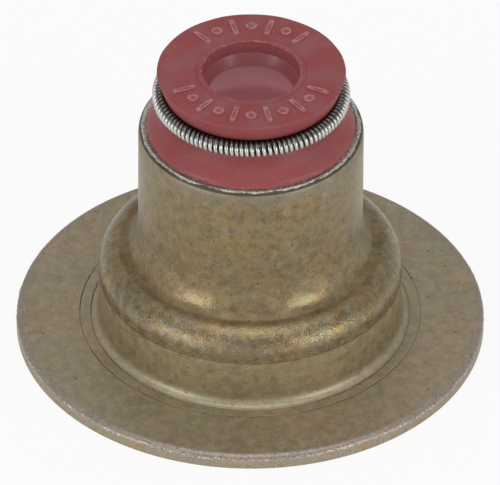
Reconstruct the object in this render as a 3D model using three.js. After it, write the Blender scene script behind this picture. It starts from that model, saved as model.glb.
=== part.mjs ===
// A valve stem seal with a spring seat, in millimetres. The valve's axis is Z, and z = 0 is the
// underside of the flange, which sits on the cylinder head with the sealing lip upwards.
// It comes apart on a bench into three pieces, which are three meshes here: a shell pressed from
// sheet steel, the rubber body moulded into and over its neck, and a garter spring in the groove.

import * as THREE from 'three';

const { degToRad } = THREE.MathUtils;

// Steel shell, from the neck outwards
const sheet = 1.0; // thickness of the sheet
const flareWidth = 0.9; // hollow curve at the foot of the neck
const flareHeight = 2.4;
const ledgeWidth = 0.06; // flat left between the flare and the shoulder's bend
const shoulderInnerBend = 0.6; // bend inside the shoulder
const shoulderHeight = 6.5; // top of the shoulder above the flange's underside
const neckHeight = 9.5; // top of the shell above the shoulder
const neckEdgeWidth = 0.38; // rounded outer edge at the top of the neck
const neckEdgeHeight = 0.48;
const footBend = 0.5; // hollow bend between the wide wall and the flange
const flangeWidth = 5.25; // from the wide wall to the rim
const rimEdgeWidth = 0.4; // rounded upper edge of the rim
const rimEdgeHeight = 0.3;

// Rubber lining, which grips the valve guide inside the neck
const guideBoreRadius = 5.4; // a little under the 11 mm guide
const liningWall = 0.77;
const bondClearance = 0.02; // between the rubber and the steel that it is bonded to
const liningSetback = 0.3; // lower end of the lining above the flare
const liningChamfer = 0.25;
const ribHeight = 0.15;
const ribHalfWidth = 0.3;
const ribPitch = 1.4;
const ribCount = 3;
const firstRibHeight = 1.4; // middle of the lowest rib above the end of the lining
const guideStopDepth = 1.0; // step that the guide's end meets, below the top of the shell

// Rubber throat and head
const lipRadius = 2.7; // grips a 6 mm stem
const lipFlat = 0.08; // height of the lip's edge
const lipRise = 0.22; // lip above the middle of the spring
const chamberRadius = 4.0; // space between the guide's end and the lip
const chamberHeight = 1.4;
const throatWall = 2.38; // from the lip to the bottom of the spring's groove
const mouthStep = 0.4; // mouth's radius beyond the lip's
const mouthDepth = 0.9;
const mouthRingWidth = 0.41; // low ring round the mouth
const mouthRingHeight = 0.1;
const headHeight = 1.85; // top face above the middle of the spring
const headSideHeight = 0.9;
const headSideLean = 0.32; // how far the head's side leans out towards its top
const headOverhang = 0.06; // lower edge of the head beyond the middle of the spring
const headEdge = 0.1; // rounded upper edge
const skirtRimWidth = 0.49; // rubber's overlap on the top of the shell
const skirtRimRound = 0.16;
const skirtRimHeight = 0.33;
const skirtHeight = 1.6; // from the top of the shell to the upper edge of the skirt
const skirtHollow = 0.05; // how hollow the skirt's cone is
const skirtNeckIn = 0.13; // upper edge of the skirt inside the middle of the spring

// Garter spring
const coilDiameter = 1.2;
const wireDiameter = 0.28;
const turnGap = 0.02; // between turns, on the inside of the ring
const grooveClearance = 0.04; // between the coil and the groove
const grooveLowerAngle = 250; // ends of the round groove, in degrees about the coil's middle
const grooveUpperAngle = 100;
const springHeight = 2.55; // middle of the spring above the top of the shell

// Fineness of the meshes
const sidesRound = 64;
const edgeSteps = 3; // along a small bend of an outline
const bendSteps = 5; // along a large one
const grooveSteps = 8;
const stepsPerTurn = 8;
const wireSides = 4;

// Worked out from the sizes above
const shellTopZ = shoulderHeight + neckHeight;
const springZ = shellTopZ + springHeight;
const boreWallRadius = guideBoreRadius + liningWall + bondClearance;
const neckRadius = boreWallRadius + sheet;
const flareRadius = neckRadius + flareWidth;
const shoulderCentreRadius = flareRadius + ledgeWidth;
const wideWallRadius = shoulderCentreRadius + shoulderInnerBend + sheet;
const flangeRadius = wideWallRadius + flangeWidth;
const grooveFloorRadius = lipRadius + throatWall;
const springRadius = grooveFloorRadius + grooveClearance + coilDiameter / 2;

const point = (r, z) => new THREE.Vector2(r, z);

// A round stretch of an outline about (r, z), between two angles from +R towards +Z.
function bend(r, z, width, height, fromAngle, toAngle, steps) {
  const points = [];
  for (let i = 0; i <= steps; i++) {
    const angle = degToRad(fromAngle + ((toAngle - fromAngle) * i) / steps);
    points.push(point(r + width * Math.cos(angle), z + height * Math.sin(angle)));
  }
  return points;
}

// The outline is a closed loop of (radius, height), counter-clockwise, turned about Z.
function turnedPiece(name, outline, material) {
  const geometry = new THREE.LatheGeometry([...outline, outline[0].clone()], sidesRound);
  geometry.rotateX(Math.PI / 2);
  const mesh = new THREE.Mesh(geometry, material);
  mesh.name = name;
  return mesh;
}

function steelShell() {
  const flareTopZ = shoulderHeight + flareHeight;
  const footRadius = wideWallRadius + footBend;
  const footZ = sheet + footBend;
  const shoulderBend = shoulderInnerBend + sheet;
  const shoulderCentreZ = shoulderHeight - shoulderBend;
  const rimEdgeRadius = flangeRadius - rimEdgeWidth;
  const neckEdgeRadius = neckRadius - neckEdgeWidth;
  const neckEdgeZ = shellTopZ - neckEdgeHeight;
  const upperSide = [
    ...bend(rimEdgeRadius, sheet - rimEdgeHeight, rimEdgeWidth, rimEdgeHeight, 0, 90, edgeSteps),
    ...bend(footRadius, footZ, footBend, footBend, 270, 180, edgeSteps),
    ...bend(shoulderCentreRadius, shoulderCentreZ, shoulderBend, shoulderBend, 0, 90, bendSteps),
    ...bend(flareRadius, flareTopZ, flareWidth, flareHeight, 270, 180, bendSteps),
    ...bend(neckEdgeRadius, neckEdgeZ, neckEdgeWidth, neckEdgeHeight, 0, 90, edgeSteps),
  ];
  const lowerSide = [
    point(boreWallRadius, shellTopZ),
    ...bend(flareRadius, flareTopZ, flareWidth + sheet, flareHeight + sheet, 180, 270, bendSteps),
    ...bend(shoulderCentreRadius, shoulderCentreZ, shoulderInnerBend, shoulderInnerBend, 90, 0, edgeSteps),
    ...bend(footRadius, footZ, footBend + sheet, footBend + sheet, 180, 270, bendSteps),
    point(flangeRadius, 0),
  ];
  const steel = new THREE.MeshStandardMaterial({ color: 0x83785f, roughness: 0.45, metalness: 0.85 });
  return turnedPiece('steel_shell', [...upperSide, ...lowerSide], steel);
}

// Rib by rib down the bore that grips the guide
function guideRibs(liningBottomZ) {
  const points = [];
  for (let i = ribCount - 1; i >= 0; i--) {
    const z = liningBottomZ + firstRibHeight + i * ribPitch;
    points.push(
      point(guideBoreRadius, z + ribHalfWidth),
      point(guideBoreRadius - ribHeight, z),
      point(guideBoreRadius, z - ribHalfWidth),
    );
  }
  return points;
}

// The hollow cone between the spring's groove and the rim that overlaps the shell
function skirt(fromRadius, fromZ, toRadius, toZ) {
  const middle = point((fromRadius + toRadius) / 2 - skirtHollow, (fromZ + toZ) / 2 - skirtHollow);
  return [point(fromRadius, fromZ), middle, point(toRadius, toZ)];
}

function sealBody() {
  const headTopZ = springZ + headHeight;
  const headLowerRadius = springRadius + headOverhang;
  const headRadius = headLowerRadius + headSideLean;
  const grooveRound = coilDiameter / 2 + grooveClearance;
  const rimRadius = boreWallRadius + skirtRimWidth;
  const rimBottomZ = shellTopZ + bondClearance;
  const rimTopZ = rimBottomZ + skirtRimHeight;
  const angles = [grooveLowerAngle, grooveUpperAngle];
  const outside = [
    point(rimRadius, rimBottomZ),
    ...skirt(rimRadius - skirtRimRound, rimTopZ, springRadius - skirtNeckIn, shellTopZ + skirtHeight),
    ...bend(springRadius, springZ, grooveRound, grooveRound, ...angles, grooveSteps),
    point(headLowerRadius, headTopZ - headSideHeight),
    point(headRadius, headTopZ - headEdge),
    point(headRadius - headEdge, headTopZ),
  ];

  const mouthRadius = lipRadius + mouthStep;
  const ringTopZ = headTopZ + mouthRingHeight;
  const mouth = [
    point(mouthRadius + mouthRingWidth, headTopZ),
    point(mouthRadius + mouthRingWidth - mouthRingHeight, ringTopZ),
    point(mouthRadius, ringTopZ),
    point(mouthRadius, headTopZ - mouthDepth),
  ];

  const lipZ = springZ + lipRise;
  const guideStopZ = shellTopZ - guideStopDepth;
  const throat = [
    point(lipRadius, lipZ + lipFlat),
    point(lipRadius, lipZ),
    point(chamberRadius, guideStopZ + chamberHeight),
    point(chamberRadius, guideStopZ),
    point(guideBoreRadius, guideStopZ),
  ];

  const liningBottomZ = shoulderHeight + flareHeight + liningSetback;
  const liningRadius = guideBoreRadius + liningWall;
  const lining = [
    ...guideRibs(liningBottomZ),
    point(guideBoreRadius, liningBottomZ + liningChamfer),
    point(guideBoreRadius + liningChamfer, liningBottomZ),
    point(liningRadius, liningBottomZ),
    point(liningRadius, rimBottomZ),
  ];
  const rubber = new THREE.MeshStandardMaterial({ color: 0x8f4b50, roughness: 0.7, metalness: 0 });
  return turnedPiece('seal_body', [...outside, ...mouth, ...throat, ...lining], rubber);
}

// A closed helix: the wire's middle winds round a ring, and corners are set round the wire.
function garterSpring() {
  const windRadius = (coilDiameter - wireDiameter) / 2;
  const innerCircle = 2 * Math.PI * (springRadius - windRadius);
  const turns = Math.floor(innerCircle / (wireDiameter + turnGap));
  const steps = turns * stepsPerTurn;
  const corners = [];
  const faces = [];
  for (let i = 0; i < steps; i++) {
    const round = (2 * Math.PI * i) / steps;
    const wind = (-2 * Math.PI * i) / stepsPerTurn;
    for (let side = 0; side < wireSides; side++) {
      const turn = (2 * Math.PI * side) / wireSides;
      const fromRing = windRadius + (wireDiameter / 2) * Math.cos(turn);
      const along = (wireDiameter / 2) * Math.sin(turn);
      const radius = springRadius + fromRing * Math.cos(wind);
      corners.push(
        radius * Math.cos(round) - along * Math.sin(round),
        radius * Math.sin(round) + along * Math.cos(round),
        springZ + fromRing * Math.sin(wind),
      );
      const here = i * wireSides + side;
      const beside = i * wireSides + ((side + 1) % wireSides);
      const next = ((i + 1) % steps) * wireSides + side;
      const nextBeside = ((i + 1) % steps) * wireSides + ((side + 1) % wireSides);
      faces.push(here, nextBeside, beside, here, next, nextBeside);
    }
  }
  const geometry = new THREE.BufferGeometry();
  geometry.setAttribute('position', new THREE.Float32BufferAttribute(corners, 3));
  geometry.setIndex(faces);
  geometry.computeVertexNormals();
  const wire = new THREE.MeshStandardMaterial({ color: 0xb8bbbb, roughness: 0.3, metalness: 1 });
  const mesh = new THREE.Mesh(geometry, wire);
  mesh.name = 'garter_spring';
  return mesh;
}

const valveStemSeal = new THREE.Group();
valveStemSeal.add(steelShell(), sealBody(), garterSpring());

export default valveStemSeal;
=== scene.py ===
"""A valve stem seal with a spring seat: fine surfaces, finishes, light and camera over its frame.
All lengths are in metres, and the valve's axis is Z."""

import math

import bpy
import numpy as np
from mathutils import Matrix, Vector


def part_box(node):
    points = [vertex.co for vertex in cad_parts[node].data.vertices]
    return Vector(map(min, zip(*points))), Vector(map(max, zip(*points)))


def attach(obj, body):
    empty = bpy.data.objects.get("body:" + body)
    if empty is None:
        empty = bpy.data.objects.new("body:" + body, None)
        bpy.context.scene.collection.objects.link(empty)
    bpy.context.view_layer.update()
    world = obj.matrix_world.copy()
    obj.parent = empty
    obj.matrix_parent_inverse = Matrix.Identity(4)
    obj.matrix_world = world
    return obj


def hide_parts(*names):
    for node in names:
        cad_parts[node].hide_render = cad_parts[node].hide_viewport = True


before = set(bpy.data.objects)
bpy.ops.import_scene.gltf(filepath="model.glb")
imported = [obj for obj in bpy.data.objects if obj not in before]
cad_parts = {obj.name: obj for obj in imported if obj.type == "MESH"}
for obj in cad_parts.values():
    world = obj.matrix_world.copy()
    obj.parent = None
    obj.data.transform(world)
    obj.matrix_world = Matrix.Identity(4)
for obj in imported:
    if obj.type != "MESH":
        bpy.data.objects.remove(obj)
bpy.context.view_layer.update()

bl_info = {
    "name": "Valve stem seal",
    "version": (1, 0, 0),
    "blender": (4, 5, 0),
    "location": "3D View > Sidebar > Seal",
    "description": "Makes a valve stem seal: pressed shell, rubber, garter spring and stage",
    "category": "Object",
}

MM = 0.001
BODY = "root"

# The stage: lamps as (place in metres, width, watts), and shares of white
LAMP_AIM = Vector((0, 0, 8 * MM))
LAMPS = {
    "lamp_left": ((-0.317, -0.266, 0.086), 0.15, 0.32),
    "lamp_right": ((0.317, -0.266, 0.086), 0.15, 0.32),
    "lamp_top": ((0.0, -0.10, 0.5), 0.36, 0.64),
    "lamp_bore": ((0, 0, 2 * MM), 6 * MM, 0.0016),
}
UNSEEN_LAMPS = {"lamp_bore"}
WORLD_STRENGTH = 0.50
FLOOR_WHITE_SEEN = 0.88
FLOOR_WHITE_MIRRORED = 0.3

# Arcs of raised marks as (first angle, last angle, count), in degrees
MARK_ARCS = {"marks_back": (48, 132, 7), "marks_front": (205, 335, 11)}

# A raised mark, as shares of its width and height
PAD_STEEPNESS = 7.0
HOLLOW_RADIUS = 0.8
HOLLOW_SLOPE = 0.7
HOLLOW_DEPTH = 0.35

# The garter spring: waves of its uneven turns round the ring, and how much thinner its joint is
COIL_WAVES = (5.0, 13.0)
JOINT_TUCK = 0.05

# A rounded corner: how much of a side it may take, and how far beyond it a flat stretch starts
LONGEST_CUT = 0.45
BESIDE_CUT = 1.6

# How far from an edge its burr, waves or raggedness reach
BURR_REACH = 0.07 * MM
HEAD_WAVE_REACH = 0.4 * MM
SKIRT_RAG_REACH = 0.12 * MM

# Seeds of the random edges
RIM_SEEDS = (11, 12, 13)
NECK_SEEDS = (14, 15)
FLANGE_SEED = 16
HEAD_SEED = 21
SKIRT_SEEDS = (22, 23)


def section(node):
    """The distance from the axis and the height of each of a node's points."""
    points = np.array([v.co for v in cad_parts[node].data.vertices])
    return np.hypot(points[:, 0], points[:, 1]), points[:, 2]


def reach(node, low, high):
    """The smallest and largest distance from the axis of a node's points between two heights."""
    radii, heights = section(node)
    inside = radii[(heights > low) & (heights < high)]
    return float(inside.min()), float(inside.max())


def top_beyond(node, radius):
    """The height of a node's highest point outside a radius."""
    radii, heights = section(node)
    return float(heights[radii > radius].max())


# Sizes that the frame gives
_, shell_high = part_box("steel_shell")
rubber_low, rubber_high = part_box("seal_body")
coil_low, coil_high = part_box("garter_spring")
FLANGE_RADIUS = shell_high[0]
SHELL_TOP = shell_high[2]
NECK_INNER, NECK_RADIUS = reach("steel_shell", 8.8 * MM, SHELL_TOP - 0.3 * MM)
WALL_INNER, WALL_RADIUS = reach("steel_shell", 1.4 * MM, 4.5 * MM)
SHEET = WALL_RADIUS - WALL_INNER
RIM_RADIUS = rubber_high[0]
LINING_BOTTOM = rubber_low[2]
HEAD_TOP = top_beyond("seal_body", 5 * MM)
LIP_RADIUS = reach("seal_body", LINING_BOTTOM, HEAD_TOP)[0]
HEAD_RIM = reach("seal_body", HEAD_TOP - 0.15 * MM, HEAD_TOP + 0.1 * MM)[1]
COIL_DIAMETER = coil_high[2] - coil_low[2]
SPRING_Z = (coil_high[2] + coil_low[2]) / 2
SPRING_RADIUS = coil_high[0] - COIL_DIAMETER / 2


def length(name, description, millimetres):
    """A length setting. Its default is given in millimetres."""
    default = millimetres * MM
    return bpy.props.FloatProperty(
        name=name, description=description, default=default, unit="LENGTH", precision=6
    )


def angle(name, description, degrees):
    """An angle setting. Its default is given in degrees."""
    return bpy.props.FloatProperty(
        name=name, description=description, default=math.radians(degrees), subtype="ANGLE"
    )


def whole(name, description, default, least=1, most=1000):
    """A whole-number setting."""
    return bpy.props.IntProperty(
        name=name, description=description, default=default, min=least, max=most
    )


def number(name, description, default):
    """A setting without a unit."""
    return bpy.props.FloatProperty(name=name, description=description, default=default)


def colour(name, description, default):
    """A colour setting, in linear light."""
    return bpy.props.FloatVectorProperty(
        name=name, description=description, default=default, subtype="COLOR", size=3, min=0, max=1
    )


class ShellSizes(bpy.types.PropertyGroup):
    """Sizes of the pressed steel shell"""

    shoulder_height: length("Shoulder height", "Top of the shoulder above the seat", 6.5)
    shoulder_bend: length("Shoulder bend", "Outside radius of the shoulder's bend", 1.6)
    ledge: length("Ledge", "Sloping stretch between the shoulder's bend and the flare", 0.10)
    ledge_slope: angle("Ledge slope", "Slope of the ledge", 6)
    flare_height: length("Flare height", "Height of the hollow curve at the foot of the neck", 2.4)
    foot_width: length("Foot width", "Width of the hollow bend between wall and flange", 0.46)
    foot_height: length("Foot height", "Height of the hollow bend between wall and flange", 0.6)
    shoulder_grain: length("Grain height", "Height of the grainy stretch below the top", 2.15)
    wall_draft: length("Wall draft", "How much narrower the wide wall is at its top", 0.03)
    coin_width: length("Coined ring", "Width of the coined ring round the foot", 0.72)
    groove_width: length("Groove width", "Width of the two fine grooves by the coined ring", 0.09)
    groove_depth: length("Groove depth", "Depth of the two fine grooves", 0.035)
    roll_width: length("Roll-over width", "Width of the rolled upper edge of the rim", 0.42)
    roll_height: length("Roll-over height", "Height of the rolled upper edge of the rim", 0.3)
    rim_burr: length("Rim burr", "Height of the burr along the rim", 0.035)
    neck_edge_width: length("Neck edge width", "Width of the sheared edge of the neck", 0.28)
    neck_edge_height: length("Neck edge height", "Height of the sheared edge of the neck", 0.48)
    neck_burr: length("Neck burr", "Height of the burr on top of the neck", 0.05)
    flange_waves: length("Flange waves", "How far the flange's face waves round the axis", 0.006)
    sides: whole("Sides", "Faces round the shell", 640, 64, 800)


class RubberSizes(bpy.types.PropertyGroup):
    """Sizes of the moulded rubber body"""

    head_radius: length("Head radius", "Radius of the head's top edge", 6.05)
    head_side: length("Head side", "Height of the head's leaning side", 0.9)
    head_lean: length("Head lean", "How far the side leans out", 0.32)
    head_edge: length("Head edge", "Rounding of the top edge", 0.09)
    ring_width: length("Mouth ring", "Width of the low ring round the mouth", 0.41)
    ring_height: length("Mouth ring height", "Height of the low ring", 0.03)
    mouth_edge: length("Mouth edge", "Rounding of the mouth's edge", 0.14)
    mouth_step: length("Mouth step", "Mouth's radius beyond the lip's", 0.4)
    mouth_depth: length("Mouth depth", "Depth of the mouth's straight wall", 0.9)
    lip_rise: length("Lip rise", "Height of the lip above the spring's middle", 0.22)
    groove_gap: length("Groove gap", "Clearance between the spring and its groove", 0.02)
    skirt_top: length("Skirt top", "Upper edge of the skirt above the shell", 1.6)
    skirt_hollow: length("Skirt hollow", "How hollow the skirt's cone is", 0.07)
    skirt_rag: length("Skirt raggedness", "How ragged the skirt's foot is", 0.03)
    head_waves: length("Head waves", "How far the head's edge waves round the axis", 0.018)
    bore_radius: length("Guide bore", "Radius of the bore that grips the guide", 5.4)
    stop_depth: length("Guide stop", "Depth of the guide stop below the shell's top", 1.0)
    chamber_radius: length("Chamber radius", "Radius of the space below the lip", 4.0)
    chamber_height: length("Chamber height", "Height of the space's straight wall", 1.2)
    rib_height: length("Rib height", "Height of the ribs in the guide bore", 0.15)
    rib_half_width: length("Rib half width", "Half the width of a rib", 0.3)
    rib_pitch: length("Rib pitch", "Distance between ribs", 1.4)
    rib_count: whole("Ribs", "Ribs in the bore", 3, 0)
    sides: whole("Sides", "Faces round the rubber", 384, 64, 800)


class SpringSizes(bpy.types.PropertyGroup):
    """Sizes of the garter spring"""

    wire: length("Wire", "Diameter of the wire", 0.262)
    turns: whole("Turns", "Turns of the spring", 110, 3)
    steps: whole("Steps", "Steps in a turn", 28, 6)
    wire_sides: whole("Wire sides", "Sides of the wire", 12, 3)
    joint_angle: angle("Joint angle", "Where round the ring the two ends are joined", 218)
    joint_shift: number("Joint shift", "How far turns lean together at the joint, in turns", 0.45)
    joint_turns: number("Joint turns", "How many turns the joint disturbs", 3.0)
    unevenness: number("Unevenness", "How much the turns' spacing wanders, in turns", 0.12)


class MarkSizes(bpy.types.PropertyGroup):
    """Sizes of the plain raised marks on the head"""

    radius: length("Mark radius", "Distance of the marks from the axis", 4.68)
    bar_length: length("Bar length", "Length of a radial bar", 1.75)
    bar_width: length("Bar width", "Width of a bar", 0.42)
    dot_radius: length("Dot radius", "Radius of a dot", 0.42)
    height: length("Mark height", "Height of a mark above the head", 0.1)


class FinishColours(bpy.types.PropertyGroup):
    """Colours of the finishes"""

    olive: colour("Olive steel", "Yellow passivation where it is greenish", (0.385, 0.335, 0.225))
    umber: colour("Umber steel", "Yellow passivation where it is brownish", (0.420, 0.330, 0.225))
    golden: colour("Golden steel", "Passivation on the stretched sheet", (0.268, 0.212, 0.112))
    amber: colour("Amber steel", "Warmer patches on the stretched sheet", (0.335, 0.222, 0.090))
    # Brown mottling, and also the painted shade in the valley under the flare
    brown_and_shade: colour("Brown steel", "Brown residue and mottling", (0.165, 0.112, 0.062))
    painted_highlight: colour("Rubbed steel", "The hollow bend at the foot, rubbed bright", (0.47, 0.43, 0.30))
    # A highlight painted on the hollow bend at the foot
    ironed: colour("Ironed steel", "Olive passivation on the smooth wall", (0.430, 0.360, 0.215))
    slate: colour("Slate steel", "Passivation where it is thin and greyish", (0.350, 0.335, 0.290))
    rolled: colour("Rolled steel", "Rolled edges, greyish violet", (0.365, 0.318, 0.298))
    sheared: colour("Sheared steel", "The cut side of the rim", (0.415, 0.348, 0.262))
    rust: colour("Rust", "Orange patches on the cut side", (0.46, 0.27, 0.10))
    # The burrs' bare metal, also used for the painted glints on them
    burr: colour("Burr", "Bright burrs", (0.85, 0.82, 0.78))
    # Dark steel in the pits and in the band round the outside of the neck's burr, and painted shade
    # in the flange's grooves and along the step in the neck's top
    dark_steel_and_shade: colour("Dark edge", "Stained band below the neck's burr", (0.085, 0.075, 0.062))
    rubber: colour("Rubber", "The red rubber", (0.315, 0.056, 0.058))
    # Bloom in patches, and painted sheen where it is stronger on the head's top
    bloom_and_sheen: colour("Bloom", "Pale bloom on the rubber", (0.30, 0.125, 0.135))
    # Painted highlights on edges and rims, and pale nicks in the mouth's edge
    edge: colour("Rubber edges", "Rubber on edges and rims, paler", (0.52, 0.25, 0.25))
    # Painted shade in the spring's groove and on the wire
    dark_shade: colour("Grease", "Dark residue in the spring's groove", (0.035, 0.022, 0.020))
    # Painted light inside the bore and on the lip cone, paler than the rubber
    lining: colour("Lining", "Rubber inside, pale with bloom", (0.385, 0.175, 0.195))
    wire: colour("Spring wire", "Bright drawn wire", (0.68, 0.68, 0.65))
    floor: colour("Floor", "Pale floor", (0.93, 0.93, 0.93))


class StageSizes(bpy.types.PropertyGroup):
    """Camera and floor"""

    elevation: angle("Elevation", "Camera's height above the horizon", 37.9)
    roll: angle("Roll", "Camera's turn about its view", 0.27)
    distance: length("Distance", "Camera's distance from the seal", 1200)
    frame_width: length("Frame width", "Width of what the camera sees at the seal", 32.02)
    aim_height: length("Aim height", "Height on the axis that the camera looks at", 6.58)
    aim_side: length("Aim side", "How far the camera looks beside the axis", -0.03)
    floor_size: length("Floor size", "Width of the floor", 2000)


def arc(radius, height, width, rise, start, end, steps):
    """Points of a round stretch about (radius, height), between two angles in degrees."""
    angles = np.radians(np.linspace(start, end, steps + 1))
    return [(radius + width * math.cos(a), height + rise * math.sin(a)) for a in angles]


def rounded(corners, steps=4):
    """An outline through (radius, height, rounding) corners, each rounded by its own radius.
    A point just beyond each end of a rounding keeps the stretch beside it flat."""
    outline = []
    count = len(corners)
    for i, (radius, height, rounding) in enumerate(corners):
        corner = np.array([radius, height])
        to_last = np.array(corners[i - 1][:2]) - corner
        to_next = np.array(corners[(i + 1) % count][:2]) - corner
        last_length, next_length = np.linalg.norm(to_last), np.linalg.norm(to_next)
        to_last, to_next = to_last / last_length, to_next / next_length
        half = math.acos(max(-1.0, min(1.0, float(to_last @ to_next)))) / 2
        if rounding == 0 or half > math.radians(88):
            outline.append(tuple(corner))
            continue
        longest = LONGEST_CUT * min(last_length, next_length)
        cut = min(rounding / math.tan(half), longest)
        beyond = BESIDE_CUT * cut
        first, last = corner + cut * to_last, corner + cut * to_next
        if beyond < 0.5 * last_length:
            outline.append(tuple(corner + beyond * to_last))
        for step in np.linspace(0, 1, steps + 1):
            along = (1 - step) ** 2 * first + 2 * step * (1 - step) * corner + step**2 * last
            outline.append(tuple(along))
        if beyond < 0.5 * next_length:
            outline.append(tuple(corner + beyond * to_next))
    return outline


def sharp(points):
    """Outline points as corners with no rounding."""
    return [(radius, height, 0) for radius, height in points]


def jagged(angles, teeth, seed):
    """Random values from -1 to 1 that join up round the axis, with so many teeth in a turn."""
    values = np.random.default_rng(seed).uniform(-1, 1, teeth)
    places = np.arange(teeth) * 2 * math.pi / teeth
    return np.interp(angles, places, values, period=2 * math.pi)


def near(radius, height, at_radius, at_height, width):
    """1 at a place on the outline, falling to 0 over about that width."""
    return np.exp(-((radius - at_radius) ** 2 + (height - at_height) ** 2) / width**2)


def revolve(name, outline, sides, roughen=None):
    """A counter-clockwise outline of (radius, height), turned about Z into a closed mesh."""
    outline = np.array(outline)
    turn = np.arange(sides) * 2 * math.pi / sides
    radius, angle = np.meshgrid(outline[:, 0], turn)
    height = np.tile(outline[:, 1], (sides, 1))
    if roughen:
        radius, height = roughen(radius, height, angle)
    points = np.stack([radius * np.cos(angle), radius * np.sin(angle), height], axis=-1)
    rows = len(outline)
    side, row = np.meshgrid(np.arange(sides), np.arange(rows), indexing="ij")
    next_side, next_row = (side + 1) % sides, (row + 1) % rows
    corners = [side * rows + row, next_side * rows + row]
    corners += [next_side * rows + next_row, side * rows + next_row]
    faces = np.stack(corners, axis=-1).reshape(-1, 4)
    mesh = bpy.data.meshes.new(name)
    mesh.from_pydata(points.reshape(-1, 3).tolist(), [], faces.tolist())
    mesh.shade_smooth()
    return add_piece(name, mesh)


def add_piece(name, mesh):
    """An object at the origin that shows a mesh."""
    piece = bpy.data.objects.new(name, mesh)
    bpy.context.scene.collection.objects.link(piece)
    return piece


def dress(piece, material, node=None):
    """Gives a piece its material and slot, lets it ride, and stands it for a node."""
    if material.name not in piece.data.materials:
        piece.data.materials.append(material)
    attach(piece, BODY)
    if node:
        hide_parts(node)


# Outlines

def foot_outline(s):
    """The flange's upper face from the rim inwards, with its grooves, and the hollow foot."""
    foot_radius = WALL_RADIUS + s.foot_width
    coin_radius = foot_radius + s.coin_width
    half, depth = s.groove_width / 2, s.groove_depth
    roll_radius, roll_z = FLANGE_RADIUS - s.roll_width, SHEET - s.roll_height
    return [
        *arc(roll_radius, roll_z, s.roll_width, s.roll_height, 0, 90, 8),
        (roll_radius - half, SHEET),
        (coin_radius + 2 * half, SHEET),
        (coin_radius + half, SHEET),
        (coin_radius, SHEET - depth),
        (coin_radius - half, SHEET),
        (coin_radius - 2 * half, SHEET),
        (foot_radius + 2 * half, SHEET),
        (foot_radius + half, SHEET),
        (foot_radius, SHEET - depth),
        *arc(foot_radius - half / 2, SHEET + s.foot_height, s.foot_width - half / 2,
             s.foot_height, 270, 180, 10),
    ]


def shell_outline(s):
    """The section of the sheet: up its outside from the rim, and down its inside."""
    bend_inner = s.shoulder_bend - SHEET
    bend_radius = WALL_RADIUS - s.wall_draft - s.shoulder_bend
    bend_z = s.shoulder_height - s.shoulder_bend
    slope, level = s.ledge_slope, 90 - math.degrees(s.ledge_slope)
    ledge_radius = bend_radius + s.shoulder_bend * math.sin(slope) - s.ledge
    ledge_z = bend_z + s.shoulder_bend * math.cos(slope) + s.ledge * math.tan(slope)
    flare_width = ledge_radius - NECK_RADIUS
    for _ in range(12):
        turn = math.atan(flare_width / s.flare_height * math.tan(slope))
        flare_width = (ledge_radius - NECK_RADIUS) / (1 - math.sin(turn))
    flare_radius = NECK_RADIUS + flare_width
    flare_z = ledge_z + s.flare_height * math.cos(turn)
    last = math.degrees(turn)
    edge_radius, edge_z = NECK_RADIUS - s.neck_edge_width, SHELL_TOP - s.neck_edge_height
    under = WALL_RADIUS + s.foot_width
    outside = [
        *foot_outline(s),
        *arc(bend_radius, bend_z, s.shoulder_bend, s.shoulder_bend, 0, level, 16),
        *arc(flare_radius, flare_z, flare_width, s.flare_height, 270 - last, 180, 20),
        (NECK_RADIUS, flare_z + 0.3 * MM),
        (NECK_RADIUS, edge_z - 0.2 * MM),
        *arc(edge_radius, edge_z, s.neck_edge_width, s.neck_edge_height, 0, 84, 9),
        (edge_radius - 0.03 * MM, SHELL_TOP + s.neck_burr / 2),
        (edge_radius - 0.09 * MM, SHELL_TOP),
    ]
    inside = [
        (NECK_INNER + 0.05 * MM, SHELL_TOP),
        (NECK_INNER, SHELL_TOP - 0.05 * MM),
        (NECK_INNER, flare_z + 0.3 * MM),
        *arc(flare_radius, flare_z, flare_width + SHEET, s.flare_height + SHEET,
             180, 270 - last, 16),
        *arc(bend_radius, bend_z, bend_inner, bend_inner, level, 0, 8),
        *arc(under, SHEET + s.foot_height, s.foot_width + SHEET, s.foot_height + SHEET,
             180, 270, 12),
        (under + 0.2 * MM, 0),
        (FLANGE_RADIUS - 0.12 * MM, 0),
        (FLANGE_RADIUS - 0.03 * MM, 0),
        (FLANGE_RADIUS, 0.03 * MM),
        (FLANGE_RADIUS, 0.12 * MM),
        (FLANGE_RADIUS, SHEET - s.roll_height - 0.08 * MM),
    ]
    return outside + inside


def rib_corners(s):
    """The ribs of the guide bore from the top one down."""
    corners = []
    soft = s.rib_height / 2
    for i in reversed(range(s.rib_count)):
        z = LINING_BOTTOM + (i + 1) * s.rib_pitch
        corners += [
            (s.bore_radius, z + s.rib_half_width, soft),
            (s.bore_radius - s.rib_height, z, soft),
            (s.bore_radius, z - s.rib_half_width, soft),
        ]
    return corners


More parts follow.
